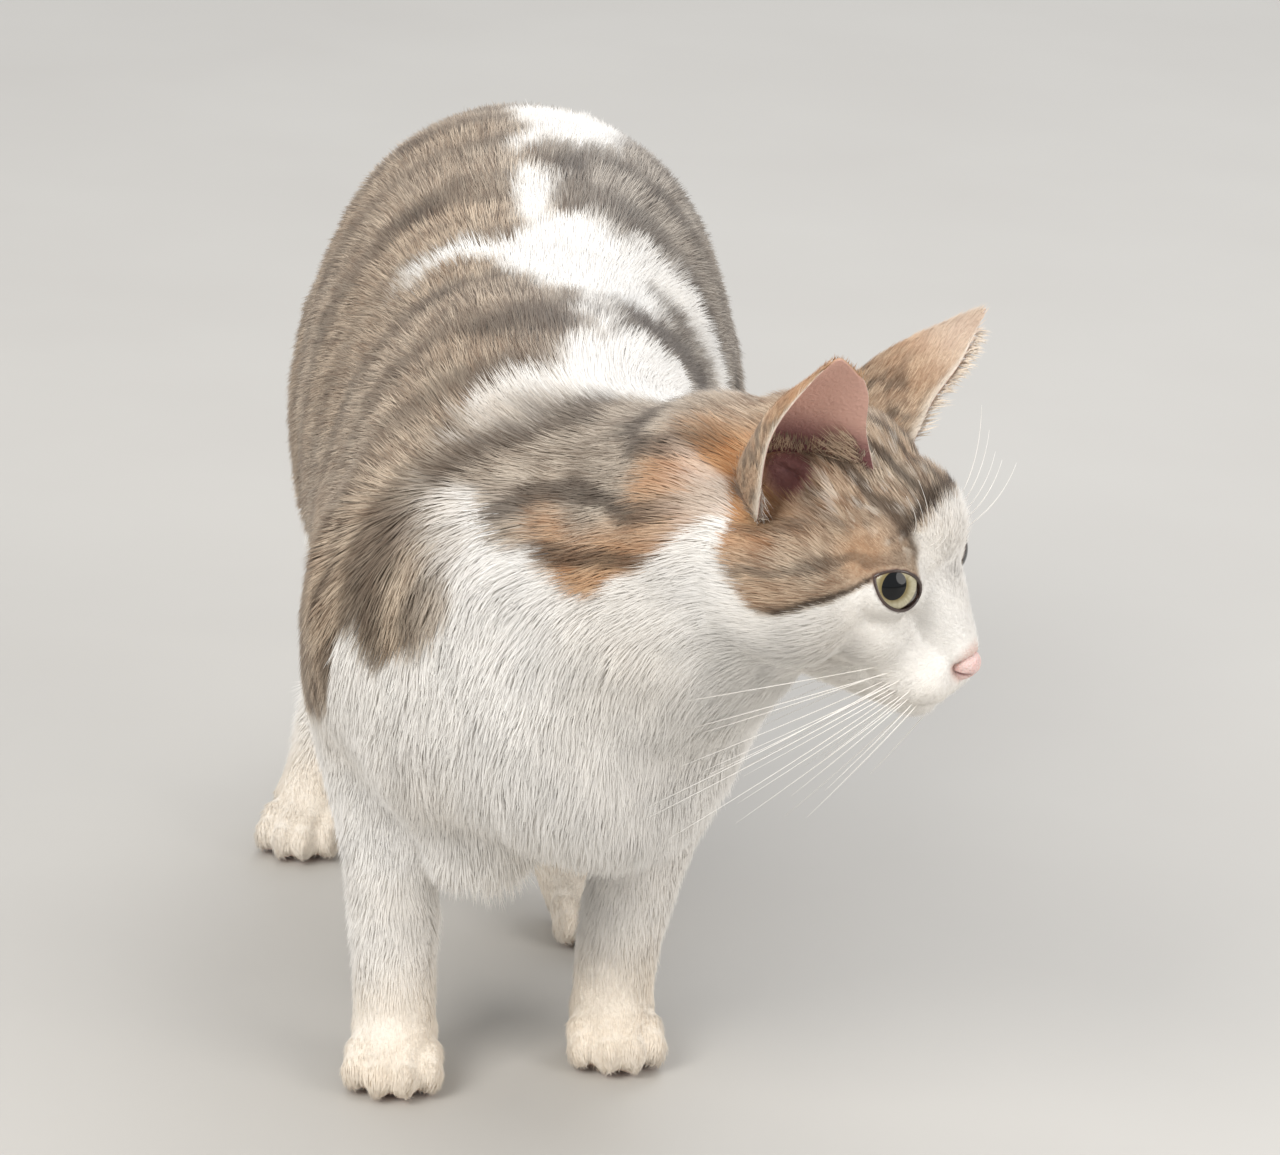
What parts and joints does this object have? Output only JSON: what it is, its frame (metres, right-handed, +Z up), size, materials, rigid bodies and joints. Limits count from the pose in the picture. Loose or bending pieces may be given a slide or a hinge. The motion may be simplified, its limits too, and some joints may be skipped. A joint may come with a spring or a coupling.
{
  "type": "cat",
  "caption": "Life-size still model of a short-haired tabby-and-white cat, standing on four paws and looking to its left.",
  "frame": {"origin": "middle of the cat's outline on the floor, at floor level", "axes": "+Z up, -Y the way the body faces, +X the cat's left"},
  "size_m": [0.202, 0.5048, 0.2686],
  "materials": {
    "skin": "short dense fur, white with brown tabby and orange patches",
    "nose": "bare pink nose leather, faintly moist",
    "eye": "wet and glossy, pale yellow-grey iris with a large dark pupil",
    "coat": "tufts of short fur over the skin",
    "claw": "small translucent claws and white whiskers"
  },
  "bodies": {
    "root": {"head": "skin", "neck": "skin", "trunk": "skin", "tail_base": "skin", "tail_middle": "skin", "tail_tip": "skin", "foreleg_right": "skin", "foreleg_left": "skin", "hindleg_right": "skin", "hindleg_left": "skin", "forepaw_right": "skin", "forepaw_left": "skin", "hindpaw_right": "skin", "hindpaw_left": "skin", "ear_right": "skin", "ear_left": "skin", "nose": "nose", "eye_right": "eye", "eye_left": "eye"}
  },
  "joints": []
}
